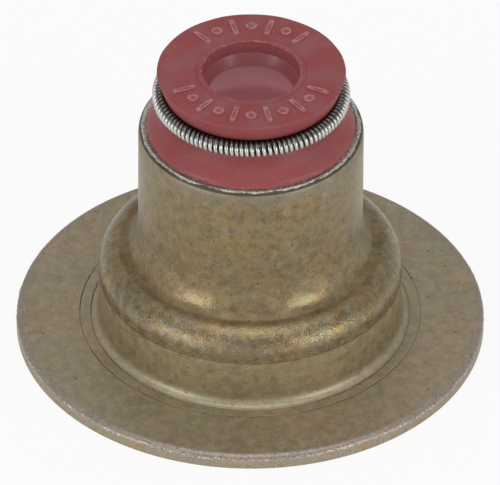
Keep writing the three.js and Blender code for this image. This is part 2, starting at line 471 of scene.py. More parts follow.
def rubber_outline(s):
    """The section of the rubber: skirt, groove, head, mouth, lip, chamber and lining."""
    head_z, ring_z = HEAD_TOP, HEAD_TOP + s.ring_height
    under_radius = s.head_radius - s.head_lean
    groove = COIL_DIAMETER / 2 + s.groove_gap
    skirt_radius, skirt_z = SPRING_RADIUS - 0.13 * MM, SHELL_TOP + s.skirt_top
    rim_z = SHELL_TOP + 0.35 * MM
    middle_radius = (RIM_RADIUS + skirt_radius) / 2 - s.skirt_hollow
    middle_z = (rim_z + skirt_z) / 2 - s.skirt_hollow
    soft = 0.03 * MM
    mouth_radius = LIP_RADIUS + s.mouth_step
    ring_radius = mouth_radius + s.ring_width
    lip_z = SPRING_Z + s.lip_rise
    stop_z = SHELL_TOP - s.stop_depth
    contact = 0.01 * MM
    lining_radius = NECK_INNER - contact
    return rounded([
        (RIM_RADIUS, SHELL_TOP + contact, soft),
        (RIM_RADIUS - 0.03 * MM, SHELL_TOP + 0.16 * MM, 2 * soft),
        (RIM_RADIUS - 0.14 * MM, rim_z, 3 * soft),
        (middle_radius, middle_z, 0.5 * MM),
        (skirt_radius, skirt_z, 2 * soft),
        *sharp(arc(SPRING_RADIUS, SPRING_Z, groove, groove, 245, 100, 14)),
        (under_radius, head_z - s.head_side, 1.5 * soft),
        (s.head_radius, head_z, s.head_edge),
        (ring_radius + 1.5 * soft, head_z, soft),
        (ring_radius, head_z - soft, soft),
        (ring_radius - soft, ring_z, soft),
        (mouth_radius, ring_z, s.mouth_edge),
        (mouth_radius, ring_z - s.mouth_depth, 3 * soft),
        (LIP_RADIUS, lip_z + 0.04 * MM, soft),
        (LIP_RADIUS, lip_z - 0.04 * MM, soft),
        (s.chamber_radius, stop_z + s.chamber_height, 60 * soft),
        (s.chamber_radius, stop_z, soft),
        (s.bore_radius, stop_z, 2 * soft),
        *rib_corners(s),
        (s.bore_radius, LINING_BOTTOM + 0.25 * MM, soft),
        (s.bore_radius + 0.25 * MM, LINING_BOTTOM, soft),
        (lining_radius, LINING_BOTTOM, soft),
        (lining_radius, SHELL_TOP - 0.02 * MM, 0),
        (lining_radius + 0.04 * MM, SHELL_TOP + contact, 0),
    ])


# Materials

def new_material(name):
    """An empty material with its node tree, shader and object coordinates."""
    material = bpy.data.materials.new(name)
    material.use_nodes = True
    tree = material.node_tree
    shader = tree.nodes["Principled BSDF"]
    place = tree.nodes.new("ShaderNodeTexCoord").outputs["Object"]
    return material, tree, shader, place


def put(tree, socket, value):
    """Sets a socket, or links it where the value is another node's output."""
    if isinstance(value, bpy.types.NodeSocket):
        tree.links.new(value, socket)
    else:
        socket.default_value = value


def worked(tree, kind, *values):
    """What a Math node of one kind makes of its values."""
    node = tree.nodes.new("ShaderNodeMath")
    node.operation = kind
    for socket, value in zip(node.inputs, values):
        put(tree, socket, value)
    return node.outputs["Value"]


def grain(tree, place, size, detail=3.0, roughness=0.55, stretch=(1, 1, 1), offset=0.0):
    """Noise from 0 to 1 whose lumps are about that size."""
    spread = tree.nodes.new("ShaderNodeMapping")
    put(tree, spread.inputs["Vector"], place)
    spread.inputs["Location"].default_value = (offset, offset, offset)
    spread.inputs["Scale"].default_value = stretch
    noise = tree.nodes.new("ShaderNodeTexNoise")
    put(tree, noise.inputs["Vector"], spread.outputs["Vector"])
    noise.inputs["Scale"].default_value = 1 / size
    noise.inputs["Detail"].default_value = detail
    noise.inputs["Roughness"].default_value = roughness
    return noise.outputs[0]


def between(tree, value, low, high, to_low=0.0, to_high=1.0):
    """A value read between two limits, held inside them, smoothly."""
    node = tree.nodes.new("ShaderNodeMapRange")
    node.interpolation_type = "SMOOTHSTEP"
    for name, given in zip(("Value", "From Min", "From Max", "To Min", "To Max"),
                           (value, low, high, to_low, to_high)):
        put(tree, node.inputs[name], given)
    return node.outputs["Result"]


def rises(tree, length, level, start, end):
    """From 0 to 1, as a length goes from one distance past a level to another, both in mm."""
    return between(tree, length, level + start * MM, level + end * MM)


def falls(tree, length, level, start, end):
    """From 1 to 0, as a length goes from one distance past a level to another, both in mm."""
    return between(tree, length, level + start * MM, level + end * MM, 1.0, 0.0)


def without(tree, share):
    """What a share leaves of 1."""
    return worked(tree, "SUBTRACT", 1.0, share)


def spots(tree, place, size, detail, roughness, offset, *limits):
    """Noise whose lumps are so many mm wide, read between limits as in a ramp."""
    return between(tree, grain(tree, place, size * MM, detail, roughness, offset=offset), *limits)


def blended(tree, factor, first, second, kind="MIX"):
    """Two colours, mixed by a factor."""
    node = tree.nodes.new("ShaderNodeMix")
    node.data_type = "RGBA"
    node.blend_type = kind
    put(tree, node.inputs["Factor"], factor)
    put(tree, node.inputs["A"], rgba(first))
    put(tree, node.inputs["B"], rgba(second))
    return next(o for o in node.outputs if o.type == "RGBA")


def rgba(value):
    """A colour with alpha, or the socket as it is."""
    if isinstance(value, bpy.types.NodeSocket):
        return value
    return (*value, 1.0)


def bumped(tree, height, distance):
    """A normal from a height field whose steps are so deep."""
    node = tree.nodes.new("ShaderNodeBump")
    node.inputs["Distance"].default_value = distance
    put(tree, node.inputs["Height"], height)
    return node.outputs["Normal"]


def from_axis(tree, place):
    """The distance from the axis, and the height."""
    split = tree.nodes.new("ShaderNodeSeparateXYZ")
    put(tree, split.inputs["Vector"], place)
    squares = [worked(tree, "POWER", split.outputs[axis], 2.0) for axis in ("X", "Y")]
    radius = worked(tree, "SQRT", worked(tree, "ADD", *squares))
    return radius, split.outputs["Z"]


def product(tree, first, *others):
    """Several values multiplied."""
    for other in others:
        first = worked(tree, "MULTIPLY", first, other)
    return first


def laid(tree, coat, over, *shares):
    """A coat of colour with another one over it, by the product of several shares."""
    return blended(tree, product(tree, *shares), coat, over)


def band(tree, value, centre, half, soft):
    """1 within half a width of a centre, falling smoothly to 0 over a soft edge."""
    away = worked(tree, "ABSOLUTE", worked(tree, "SUBTRACT", value, centre))
    return between(tree, away, half, half + soft, 1.0, 0.0)


def scaled(tree, colour_socket, factor):
    """A colour made lighter or darker by a factor."""
    node = tree.nodes.new("ShaderNodeVectorMath")
    node.operation = "SCALE"
    put(tree, node.inputs[0], colour_socket)
    put(tree, node.inputs["Scale"], factor)
    return node.outputs["Vector"]


def cells(tree, place, size):
    """Random cells of about that size: their colours and the distance from their middles."""
    node = tree.nodes.new("ShaderNodeTexVoronoi")
    put(tree, node.inputs["Vector"], place)
    node.inputs["Scale"].default_value = 1 / size
    return node.outputs["Color"], node.outputs["Distance"]


def pitted(tree, place, size, share_without, widest):
    """1 in small scattered pits, 0 elsewhere. Their widths are shares of the spacing given."""
    warp = tree.nodes.new("ShaderNodeVectorMath")
    warp.operation = "MULTIPLY_ADD"
    noise = tree.nodes.new("ShaderNodeTexNoise")
    put(tree, noise.inputs["Vector"], place)
    noise.inputs["Scale"].default_value = 2.5 / size
    put(tree, warp.inputs[0], noise.outputs["Color"])
    warp.inputs[1].default_value = (0.25 * size,) * 3
    put(tree, warp.inputs[2], place)
    colour_of_cell, distance = cells(tree, warp.outputs["Vector"], size)
    split = tree.nodes.new("ShaderNodeSeparateColor")
    put(tree, split.inputs["Color"], colour_of_cell)
    reach_of_pit = between(tree, split.outputs["Red"], share_without, 1.0, 0.0, widest)
    inside = worked(tree, "SUBTRACT", reach_of_pit, distance)
    return between(tree, inside, 0.0, 0.05)


def glittering(tree, place):
    """Small cells of many pale hues: painted glints, as an orange-peel surface shows them in light.
    """
    hues, _ = cells(tree, place, 0.18 * MM)
    return blended(tree, 0.45, hues, (0.5, 0.5, 0.5))


# Noise in the steel: size in mm, detail, roughness, offset, the limits read, and the ends given
STEEL_SPOTS = {
    "waver": (0.5, 3, 0.55, 0.0, 0.25, 0.75, -1.0, 1.0),
    "umber": (4.5, 4, 0.60, 0.0, 0.38, 0.62, 0.0, 1.0),
    "amber": (2.2, 4, 0.65, 5.3, 0.46, 0.64, 0.0, 0.7),
    "browned": (0.7, 5, 0.70, 1.1, 0.50, 0.66, 0.0, 1.0),
    # The row below: patches of the painted shade in the valley under the flare
    "painted_shade": (4.0, 2, 0.55, 3.1, 0.40, 0.60, 0.05, 0.5),
    "thin": (1.6, 4, 0.60, 0.3, 0.56, 0.74, 0.0, 0.4),
    "patches": (0.5, 3, 0.60, 0.9, 0.48, 0.66, 0.0, 0.4),
    # The row below: where the painted shade in the grooves fades
    "groove_shade_fade": (5.0, 1, 0.55, 2.9, 0.38, 0.60, 0.3, 0.95),
    "rolled": (0.4, 3, 0.65, 0.7, 0.30, 0.60, 0.15, 0.75),
    "rust": (1.1, 3, 0.55, 1.7, 0.55, 0.68, 0.0, 0.6),
    # The two rows below: where the rim's burr shows painted glints
    "sparks": (0.13, 2, 0.70, 0.2, 0.50, 0.62, 0.0, 1.0),
    "lit_part": (3.0, 1, 0.55, 2.3, 0.35, 0.60, 0.3, 1.0),
    "narrowed": (2.2, 2, 0.55, 7.7, 0.45, 0.66, 0.0, 0.12 * MM),
    # The row below: painted glints in specks on the neck's top
    "specks": (0.12, 2, 0.70, 0.6, 0.40, 0.56, 0.0, 1.0),
    # The row below: where the painted step shadow on the neck's top shows
    "split": (5.0, 1, 0.55, 4.3, 0.45, 0.55, 0.0, 0.8),
}
COARSE_GRAIN = (0.6 * MM, 3.0, 0.6)
FINE_GRAIN = (0.11 * MM, 2.0, 0.6)

# Pits in the steel: their spacing, the share of places without one, and the widest
STEEL_PITS = ((0.55 * MM, 0.50, 0.18), (0.27 * MM, 0.84, 0.24))
STEEL_BUMP = 0.013 * MM


def passivated_steel(colours, sizes):
    """Yellow-passivated pressed steel: golden and grainy where the sheet was stretched, smoother on
    the ironed wall, plain on the flange, with sheared edges and burrs at the rim and the neck."""
    material, tree, shader, place = new_material("Passivated_steel")
    radius, z = from_axis(tree, place)
    noise = {name: spots(tree, place, *row) for name, row in STEEL_SPOTS.items()}
    coarse, fine = (grain(tree, place, *row) for row in (COARSE_GRAIN, FINE_GRAIN))
    pits = worked(tree, "MAXIMUM", *(pitted(tree, place, *row) for row in STEEL_PITS))

    # Zones of the sheet
    wavy_z = worked(tree, "MULTIPLY_ADD", noise["waver"], 0.05 * MM, z)
    wavy_radius = worked(tree, "MULTIPLY_ADD", noise["waver"], 0.04 * MM, radius)
    wall_top = sizes.shoulder_height - sizes.shoulder_grain
    stretched = rises(tree, wavy_z, wall_top, -0.1, 0.06)
    ironed = product(tree, without(tree, stretched), rises(tree, z, SHEET, 0.5, 0.9))
    peel = product(tree, stretched, falls(tree, wavy_z, sizes.shoulder_height, -0.25, 0))
    # The hollow bend at the foot, where a highlight is painted
    in_foot = product(tree, rises(tree, z, SHEET, 0.02, 0.08),
                      falls(tree, wavy_z, SHEET, 0.35, 0.85))
    crease_radius = WALL_RADIUS - sizes.wall_draft - sizes.shoulder_bend
    # The valley under the flare, where shade is painted and the roughness is raised
    in_valley = product(
        tree, band(tree, wavy_z, sizes.shoulder_height + 0.12 * MM, 0.15 * MM, 0.55 * MM),
        band(tree, wavy_radius, crease_radius, 0.25 * MM, 0.25 * MM))

    coat = blended(tree, noise["umber"], colours.olive, colours.umber)
    coat = laid(tree, coat, colours.ironed, ironed, 0.85)
    gold = blended(tree, noise["amber"], colours.golden, colours.amber)
    coat = laid(tree, coat, gold, stretched, 0.85)
    brown_share = between(tree, stretched, 0.0, 1.0, 0.12, 0.55)
    coat = laid(tree, coat, colours.brown_and_shade, noise["browned"], brown_share)

    # The hollow bend at the foot gets a painted highlight, and the valley under the flare gets
    # painted shade
    coat = laid(tree, coat, colours.painted_highlight, in_foot, 0.5)
    # Painted shade: the valley under the flare darkened with brown in patches
    coat = laid(tree, coat, colours.brown_and_shade, in_valley, noise["painted_shade"])
    coat = blended(tree, noise["thin"], coat, colours.slate)
    coat = laid(tree, coat, colours.slate, noise["patches"], peel)
    # Painted glints: hues of small cells laid softly over the grainy stretched sheet
    glints = between(tree, peel, 0.0, 1.0, 0.10, 0.26)
    coat = blended(tree, glints, coat, glittering(tree, place), "SOFT_LIGHT")

    # Lighter and darker lumps, specks, and streaks down the ironed wall
    streaks = between(tree, grain(tree, place, 0.9 * MM, 3.0, 0.6, stretch=(1, 1, 7)), 0.34, 0.44)
    streaks = between(tree, product(tree, without(tree, streaks), ironed), 0.0, 1.0, 1.0, 0.80)
    depth = between(tree, stretched, 0.0, 1.0, 0.13, 0.20)
    lumps = product(tree, depth, between(tree, coarse, 0.25, 0.75, -1.0, 1.0))
    speck = between(tree, fine, 0.25, 0.75, 0.90, 1.11)
    shade = product(tree, worked(tree, "ADD", 1.0, lumps), speck, streaks)
    coat = laid(tree, scaled(tree, coat, shade), colours.dark_steel_and_shade, pits, 0.62)

    # Fine grooves beside the coined ring, darkened with painted shade
    on_flange = band(tree, z, SHEET, 0.1 * MM, 0.05 * MM)
    foot_radius = WALL_RADIUS + sizes.foot_width
    shaky_radius = worked(tree, "MULTIPLY_ADD", noise["waver"], 0.015 * MM, radius)
    grooves = worked(tree, "MAXIMUM", *(
        band(tree, shaky_radius, groove_radius, 0.2 * sizes.groove_width, 0.5 * sizes.groove_width)
        for groove_radius in (foot_radius, foot_radius + sizes.coin_width)
    ))
    groove_shade_fade = product(tree, between(tree, coarse, 0.35, 0.6, 0.5, 1.0), noise["groove_shade_fade"])
    coat = laid(tree, coat, colours.dark_steel_and_shade, grooves, on_flange, groove_shade_fade)

    # The rim: a rolled upper edge, a broken burr with painted glints, and the sheared side below it
    burr_z = SHEET - sizes.roll_height
    above_burr = rises(tree, z, burr_z, -0.02, 0)
    rolled = rises(tree, wavy_radius, FLANGE_RADIUS - 1.25 * sizes.roll_width, 0, 0.2)
    rough_roll = scaled(tree, tuple(colours.rolled), between(tree, fine, 0.3, 0.7, 0.55, 1.35))
    coat = laid(tree, coat, rough_roll, rolled, above_burr, noise["rolled"])
    side = product(tree, rises(tree, radius, FLANGE_RADIUS, -0.08, -0.03),
                   without(tree, above_burr))
    cut_face = blended(tree, noise["rust"], colours.sheared, colours.rust)
    cut_face = scaled(tree, cut_face, between(tree, fine, 0.3, 0.7, 0.80, 1.2))
    coat = laid(tree, coat, cut_face, side, 0.9)
    at_burr = band(tree, wavy_z, burr_z, 0.035 * MM, 0.08 * MM)
    rim_burr = product(tree, at_burr, noise["sparks"], noise["lit_part"],
                       rises(tree, radius, FLANGE_RADIUS, -0.12, -0.04))

    # The neck's top: a bright speckled burr with painted glints, and a dark line round the outside
    # of it
    burr_radius = NECK_RADIUS - sizes.neck_edge_width
    near_top = rises(tree, z, SHELL_TOP, -0.2, -0.15)
    # Painted reflection: a grey band painted round the neck's upper part, and the same band made
    # rougher
    grey_reflection = between(tree, wavy_z, SHELL_TOP - 1.6 * MM, SHELL_TOP - 0.4 * MM, 0.0, 0.35)
    coat = blended(tree, grey_reflection, coat, colours.slate)
    burr_reach = worked(tree, "ADD", wavy_radius, noise["narrowed"])
    line = product(tree, rises(tree, burr_reach, burr_radius, 0.09, 0.14),
                   falls(tree, wavy_radius, burr_radius, 0.22, 0.27))
    coat = laid(tree, coat, colours.dark_steel_and_shade, line, near_top, 0.9)
    top = product(tree, falls(tree, burr_reach, burr_radius, 0.07, 0.12), near_top)
    coat = laid(tree, coat, colours.rolled, top, 0.8)
    # The burrs' own bare metal, with painted glints on it in specks and patches
    bright = worked(tree, "MAXIMUM", rim_burr, product(tree, top, noise["specks"], 0.8))
    coat = blended(tree, bright, coat, colours.burr)
    # Painted shadow: a thin dark line along the step in the neck's top, in patches
    step_shadow = band(tree, wavy_radius, burr_radius - 0.16 * MM, 0.02 * MM, 0.04 * MM)
    coat = laid(tree, coat, colours.dark_steel_and_shade, step_shadow, near_top, noise["split"])
    put(tree, shader.inputs["Base Color"], coat)

    # Metal, gloss and fine relief
    raised = worked(tree, "MAXIMUM", stretched, ironed)
    put(tree, shader.inputs["Metallic"], between(tree, raised, 0.0, 1.0, 0.72, 0.85))
    matt = between(tree, coarse, 0.3, 0.7, 0.42, 0.52)
    for share, change in (
        (stretched, -0.14), (grey_reflection, 0.5), (peel, -0.07), (in_valley, 0.22), (pits, 0.2),
    ):
        matt = worked(tree, "MULTIPLY_ADD", share, change, matt)
    put(tree, shader.inputs["Roughness"], matt)
    grainy = worked(tree, "MULTIPLY_ADD", peel, 1.3, between(tree, stretched, 0.0, 1.0, 0.35, 1.5))
    relief = worked(tree, "MULTIPLY_ADD", coarse, 0.8, product(tree, fine, grainy))
    relief = worked(tree, "SUBTRACT", relief, pits)
    put(tree, shader.inputs["Normal"], bumped(tree, relief, STEEL_BUMP))
    return material


RUBBER_BUMP = 0.006 * MM


def red_rubber(colours, sizes):
    """Matt red rubber with a little bloom, stronger on the head's top as painted sheen, paler on
    its edges with painted highlights, and painted light inside the bore.
    """
    material, tree, shader, place = new_material("Red_rubber")
    radius, z = from_axis(tree, place)
    chips = grain(tree, place, 0.25 * MM, 3.0, 0.7, offset=0.4)
    grit = grain(tree, place, 0.10 * MM)

    # Zones of the moulding
    mouth_radius = LIP_RADIUS + sizes.mouth_step
    groove_inner = SPRING_RADIUS - COIL_DIAMETER / 2
    groove_half = COIL_DIAMETER / 2 + 0.1 * MM
    below_spring = falls(tree, z, SPRING_Z, 0.15, 0.4)
    clear = worked(tree, "MAXIMUM", falls(tree, radius, groove_inner, -0.2, -0.1),
                   falls(tree, z, SHELL_TOP, -0.1, 0.1))
    inside = product(tree, below_spring, falls(tree, radius, NECK_INNER, -0.7, -0.6), clear)
    in_mouth = product(tree, falls(tree, radius, mouth_radius, 0, 0.1),
                       falls(tree, z, HEAD_TOP, -0.2, -0.1), without(tree, below_spring))
    in_groove = product(tree, band(tree, z, SPRING_Z, 0.8 * groove_half, 0.2 * groove_half),
                        rises(tree, radius, groove_inner, -0.1, 0))
    skirt = falls(tree, z, SPRING_Z, -0.5, 0.5)

    cloud = spots(tree, place, 2.0, 4.0, 0.6, 0.0, 0.35, 0.70, 0.0, 0.5)
    # Pale bloom in patches, twice as strong on the head's top as painted sheen
    bloom_and_head_sheen = between(tree, z, HEAD_TOP - 0.05 * MM, HEAD_TOP, 0.5, 1.0)
    coat = laid(tree, colours.rubber, colours.bloom_and_sheen, cloud, bloom_and_head_sheen)
    # Painted light: the rubber inside the bore made pale and greyish
    coat = blended(tree, inside, coat, colours.lining)
    # Painted light: the lip cone in the mouth made paler
    coat = laid(tree, coat, colours.lining, in_mouth, 0.3)
    # Painted shade in the groove behind the spring's turns
    coat = laid(tree, coat, colours.dark_shade, in_groove, 0.8)

    # Pale edges as painted highlights: the marks' tops, the head's rim and the skirt's foot, broken
    # up in patches; and pale nicks in the mouth's edge
    on_mark = between(tree, z, HEAD_TOP + 0.06 * MM, HEAD_TOP + 0.09 * MM, 0.0, 0.9)
    head_rim = product(tree, band(tree, z, HEAD_TOP, 0.02 * MM, 0.06 * MM),
                       rises(tree, radius, HEAD_RIM, -0.1, -0.03))
    foot_rim = product(tree, falls(tree, z, SHELL_TOP, 0.05, 0.25), 0.35,
                       rises(tree, radius, NECK_INNER, 0, 0.1))
    edges = worked(tree, "MAXIMUM", worked(tree, "MAXIMUM", on_mark, head_rim), foot_rim)
    edges = product(tree, edges, between(tree, chips, 0.35, 0.60, 0.1, 1.0))
    nicks = product(tree, band(tree, radius, mouth_radius + 0.06 * MM, 0.03 * MM, 0.08 * MM),
                    rises(tree, z, HEAD_TOP, -0.1, 0), between(tree, chips, 0.56, 0.64, 0.0, 0.8))
    coat = blended(tree, worked(tree, "MAXIMUM", edges, nicks), coat, colours.edge)
    coat = scaled(tree, coat, between(tree, grit, 0.3, 0.7, 0.90, 1.09))
    put(tree, shader.inputs["Base Color"], coat)

    matt = 0.46
    for share, change in ((skirt, -0.10), (in_mouth, -0.22), (inside, 0.5), (grit, 0.12)):
        matt = worked(tree, "MULTIPLY_ADD", share, change, matt)
    put(tree, shader.inputs["Roughness"], matt)
    put(tree, shader.inputs["Specular IOR Level"], between(tree, inside, 0.0, 1.0, 0.45, 0.1))
    put(tree, shader.inputs["Normal"], bumped(tree, grit, RUBBER_BUMP))
    return material


def spring_wire(colours):
    """Bright drawn wire with fine lengthwise streaks, darkened with painted shade on its inner and
    upper side.
    """
    material, tree, shader, place = new_material("Spring_wire")
    radius, z = from_axis(tree, place)
    # Painted shade: the wire darker on its upper side under the head and on its inner side
    wire_shade = worked(tree, "MAXIMUM", product(tree, rises(tree, z, SPRING_Z, 0.22, 0.5), 0.75),
                  product(tree, falls(tree, radius, SPRING_RADIUS, -0.4, -0.1), 0.6))
    streak = grain(tree, place, 0.1 * MM, 2.0)
    coat = blended(tree, wire_shade, colours.wire, colours.dark_shade)
    coat = scaled(tree, coat, between(tree, streak, 0.3, 0.7, 0.82, 1.1))
    put(tree, shader.inputs["Base Color"], coat)
    shader.inputs["Metallic"].default_value = 1.0
    put(tree, shader.inputs["Roughness"], between(tree, streak, 0.3, 0.7, 0.25, 0.34))
    return material


def material_named(name, make, *given):
    """A material by name, made if it isn't there yet."""
    return bpy.data.materials.get(name) or make(*given)


# Geometry Nodes

def new_tree(name, numbers, counts):
    """A geometry node tree with named inputs: numbers, whole numbers and a material."""
    tree = bpy.data.node_groups.new(name, "GeometryNodeTree")
    for labels, kind in ((numbers, "Float"), (counts, "Int"), (("Material",), "Material")):
        for label in labels:
            tree.interface.new_socket(label, in_out="INPUT", socket_type="NodeSocket" + kind)
    tree.interface.new_socket("Geometry", in_out="OUTPUT", socket_type="NodeSocketGeometry")
    given = tree.nodes.new("NodeGroupInput").outputs
    return tree, given


def geo(tree, kind, inputs, **settings):
    """A geometry node with its settings, and its inputs set or linked by name or number."""
    node = tree.nodes.new(kind)
    for name, value in settings.items():
        setattr(node, name, value)
    for name, value in inputs.items():
        put(tree, node.inputs[name], value)
    return node


def maths(tree):
    """A function that adds a Math node of one kind, and gives what it makes of its values."""
    return lambda kind, *values: worked(tree, kind, *values)


def finish_tree(tree, geometry, material_input):
    """Ends a tree in real geometry with its material."""
    real = geo(tree, "GeometryNodeRealizeInstances", {"Geometry": geometry})
    painted = geo(tree, "GeometryNodeSetMaterial",
                  {"Geometry": real.outputs[0], "Material": material_input})
    end = tree.nodes.new("NodeGroupOutput")
    put(tree, end.inputs["Geometry"], painted.outputs[0])


def grown(name, tree, values):
    """The mesh that a tree makes from its named values, as a plain piece."""
    holder = add_piece(name + "_holder", bpy.data.meshes.new(name + "_holder"))
    modifier = holder.modifiers.new(name, "NODES")
    modifier.node_group = tree
    sockets = {s.name: s.identifier for s in tree.interface.items_tree if s.in_out == "INPUT"}
    for label, value in values.items():
        modifier[sockets[label]] = value
    bpy.context.view_layer.update()
    evaluated = holder.evaluated_get(bpy.context.evaluated_depsgraph_get())
    mesh = bpy.data.meshes.new_from_object(evaluated)
    mesh.name = name
    holder.modifiers.remove(modifier)
    bpy.data.objects.remove(holder)
    return add_piece(name, mesh)


def coil_tree():
    """A closed helix wound round a ring, with a disturbed stretch where its ends are joined."""
    numbers = ("Ring Radius", "Ring Height", "Coil Diameter", "Wire Diameter",
               "Joint Angle", "Joint Shift", "Joint Turns", "Unevenness")
    tree, given = new_tree("Garter_coil", numbers, ("Turns", "Steps", "Wire Sides"))
    work = maths(tree)
    points = work("MULTIPLY", given["Turns"], given["Steps"])
    ring = geo(tree, "GeometryNodeCurvePrimitiveCircle",
               {"Resolution": points, "Radius": given["Ring Radius"]})
    index = geo(tree, "GeometryNodeInputIndex", {}).outputs["Index"]
    way = work("DIVIDE", index, points)
    even_angle = work("MULTIPLY", way, math.tau)
    pitch = work("DIVIDE", math.tau, given["Turns"])
    wander = work("ADD", *(work("SINE", work("MULTIPLY", even_angle, n)) for n in COIL_WAVES))
    lean = work("MULTIPLY", work("MULTIPLY", wander, given["Unevenness"]), pitch)
    past_joint = work("DIVIDE", work("SUBTRACT", even_angle, given["Joint Angle"]),
                      work("MULTIPLY", pitch, given["Joint Turns"]))
    fall = work("EXPONENT", work("MULTIPLY", work("MULTIPLY", past_joint, past_joint), -1.0))
    pull = work("MULTIPLY", work("MULTIPLY", past_joint, fall), given["Joint Shift"])
    angle = work("SUBTRACT", work("ADD", even_angle, lean), work("MULTIPLY", pull, pitch))

    wind = work("MULTIPLY", work("MULTIPLY", way, given["Turns"]), -math.tau)
    thickness = work("SUBTRACT", given["Coil Diameter"], given["Wire Diameter"])
    tucked = work("SUBTRACT", 1.0, work("MULTIPLY", fall, JOINT_TUCK))
    wind_radius = work("MULTIPLY", work("MULTIPLY", thickness, 0.5), tucked)
    radius = work("ADD", given["Ring Radius"], work("MULTIPLY", work("COSINE", wind), wind_radius))
    height = work("ADD", given["Ring Height"], work("MULTIPLY", work("SINE", wind), wind_radius))
    where = geo(tree, "ShaderNodeCombineXYZ", {
        "X": work("MULTIPLY", radius, work("COSINE", angle)),
        "Y": work("MULTIPLY", radius, work("SINE", angle)),
        "Z": height,
    })
    helix = geo(tree, "GeometryNodeSetPosition",
                {"Geometry": ring.outputs["Curve"], "Position": where.outputs["Vector"]})
    profile = geo(tree, "GeometryNodeCurvePrimitiveCircle",
                  {"Resolution": given["Wire Sides"],
                   "Radius": work("MULTIPLY", given["Wire Diameter"], 0.5)})
    wire = geo(tree, "GeometryNodeCurveToMesh",
               {"Curve": helix.outputs["Geometry"], "Profile Curve": profile.outputs["Curve"]})
    smooth = geo(tree, "GeometryNodeSetShadeSmooth", {"Geometry": wire.outputs["Mesh"]})
    finish_tree(tree, smooth.outputs["Geometry"], given["Material"])
    return tree


def dished(tree, work, squareness):
    """A pad of radius 1 and height 1 with steep sides, a raised edge and a hollow middle. It is
    round, or squarer where the squareness is more than 0."""
    ball = geo(tree, "GeometryNodeMeshUVSphere", {"Segments": 24, "Rings": 14, "Radius": 1.0})
    place = geo(tree, "GeometryNodeInputPosition", {}).outputs["Position"]
    split = geo(tree, "ShaderNodeSeparateXYZ", {"Vector": place})
    squares = [work("MULTIPLY", split.outputs[axis], split.outputs[axis]) for axis in ("X", "Y")]
    radius = work("SQRT", work("ADD", *squares))
    side = work("MULTIPLY", work("SUBTRACT", 1.0, radius), PAD_STEEPNESS)
    hollow = work("MULTIPLY", work("SUBTRACT", HOLLOW_RADIUS, radius), HOLLOW_SLOPE)
    hollow = work("MINIMUM", work("MAXIMUM", hollow, 0.0), HOLLOW_DEPTH)
    top = work("SUBTRACT", work("MINIMUM", side, 1.0), hollow)
    upper = work("GREATER_THAN", split.outputs["Z"], 0.0)
    height = work("SUBTRACT", work("MULTIPLY", top, upper),
                  work("MULTIPLY", work("SUBTRACT", 1.0, upper), 0.5))
    largest = work("MAXIMUM", *(work("ABSOLUTE", split.outputs[axis]) for axis in ("X", "Y")))
    outwards = work("POWER", work("DIVIDE", radius, work("MAXIMUM", largest, 0.01)), squareness)
    moved = geo(tree, "ShaderNodeCombineXYZ", {
        "X": work("MULTIPLY", split.outputs["X"], outwards),
        "Y": work("MULTIPLY", split.outputs["Y"], outwards),
        "Z": height,
    })
    pad = geo(tree, "GeometryNodeSetPosition",
              {"Geometry": ball.outputs["Mesh"], "Position": moved.outputs["Vector"]})
    return pad.outputs["Geometry"]


def mark_tree():
    """Raised marks along an arc: radial bars, with a dot between each two of them."""
    numbers = ("Arc Radius", "Height", "First Angle", "Last Angle", "Bar Length", "Bar Width",
               "Dot Radius", "Rise")
    tree, given = new_tree("Raised_marks", numbers, ("Count",))
    work = maths(tree)
    row = geo(tree, "GeometryNodePoints", {"Count": given["Count"]})
    index = geo(tree, "GeometryNodeInputIndex", {}).outputs["Index"]
    last = work("MAXIMUM", work("SUBTRACT", given["Count"], 1.0), 1.0)
    spread = work("MULTIPLY", work("SUBTRACT", given["Last Angle"], given["First Angle"]),
                  work("DIVIDE", index, last))
    angle = work("ADD", given["First Angle"], spread)
    where = geo(tree, "ShaderNodeCombineXYZ", {
        "X": work("MULTIPLY", given["Arc Radius"], work("COSINE", angle)),
        "Y": work("MULTIPLY", given["Arc Radius"], work("SINE", angle)),
        "Z": given["Height"],
    })
    placed = geo(tree, "GeometryNodeSetPosition",
                 {"Geometry": row.outputs["Geometry"], "Position": where.outputs["Vector"]})
    lumps = tree.nodes.new("GeometryNodeJoinGeometry")
    for squareness in (0.0, 0.75):
        pad = dished(tree, work, squareness)
        smooth = geo(tree, "GeometryNodeSetShadeSmooth", {"Geometry": pad})
        lump = geo(tree, "GeometryNodeGeometryToInstance", {"Geometry": smooth.outputs["Geometry"]})
        tree.links.new(lump.outputs["Instances"], lumps.inputs["Geometry"])
    odd = work("MODULO", index, 2.0)
    bar = geo(tree, "ShaderNodeCombineXYZ", {
        "X": work("MULTIPLY", given["Bar Length"], 0.5),
        "Y": work("MULTIPLY", given["Bar Width"], 0.5),
        "Z": given["Rise"],
    })
    dot = geo(tree, "ShaderNodeCombineXYZ", {
        "X": given["Dot Radius"], "Y": given["Dot Radius"], "Z": given["Rise"],
    })
    size = geo(tree, "ShaderNodeMix", {"Factor": odd}, data_type="VECTOR")
    vectors = [s for s in size.inputs if s.type == "VECTOR" and s.name in ("A", "B")]
    put(tree, vectors[0], bar.outputs["Vector"])
    put(tree, vectors[1], dot.outputs["Vector"])
    scale = next(o for o in size.outputs if o.type == "VECTOR")
    facing = geo(tree, "ShaderNodeCombineXYZ", {"Z": angle})
    marks = geo(tree, "GeometryNodeInstanceOnPoints", {
        "Points": placed.outputs["Geometry"], "Instance": lumps.outputs["Geometry"],
        "Pick Instance": True, "Instance Index": odd,
        "Rotation": facing.outputs["Vector"], "Scale": scale,
    })
    finish_tree(tree, marks.outputs["Instances"], given["Material"])
    return tree


# Operators

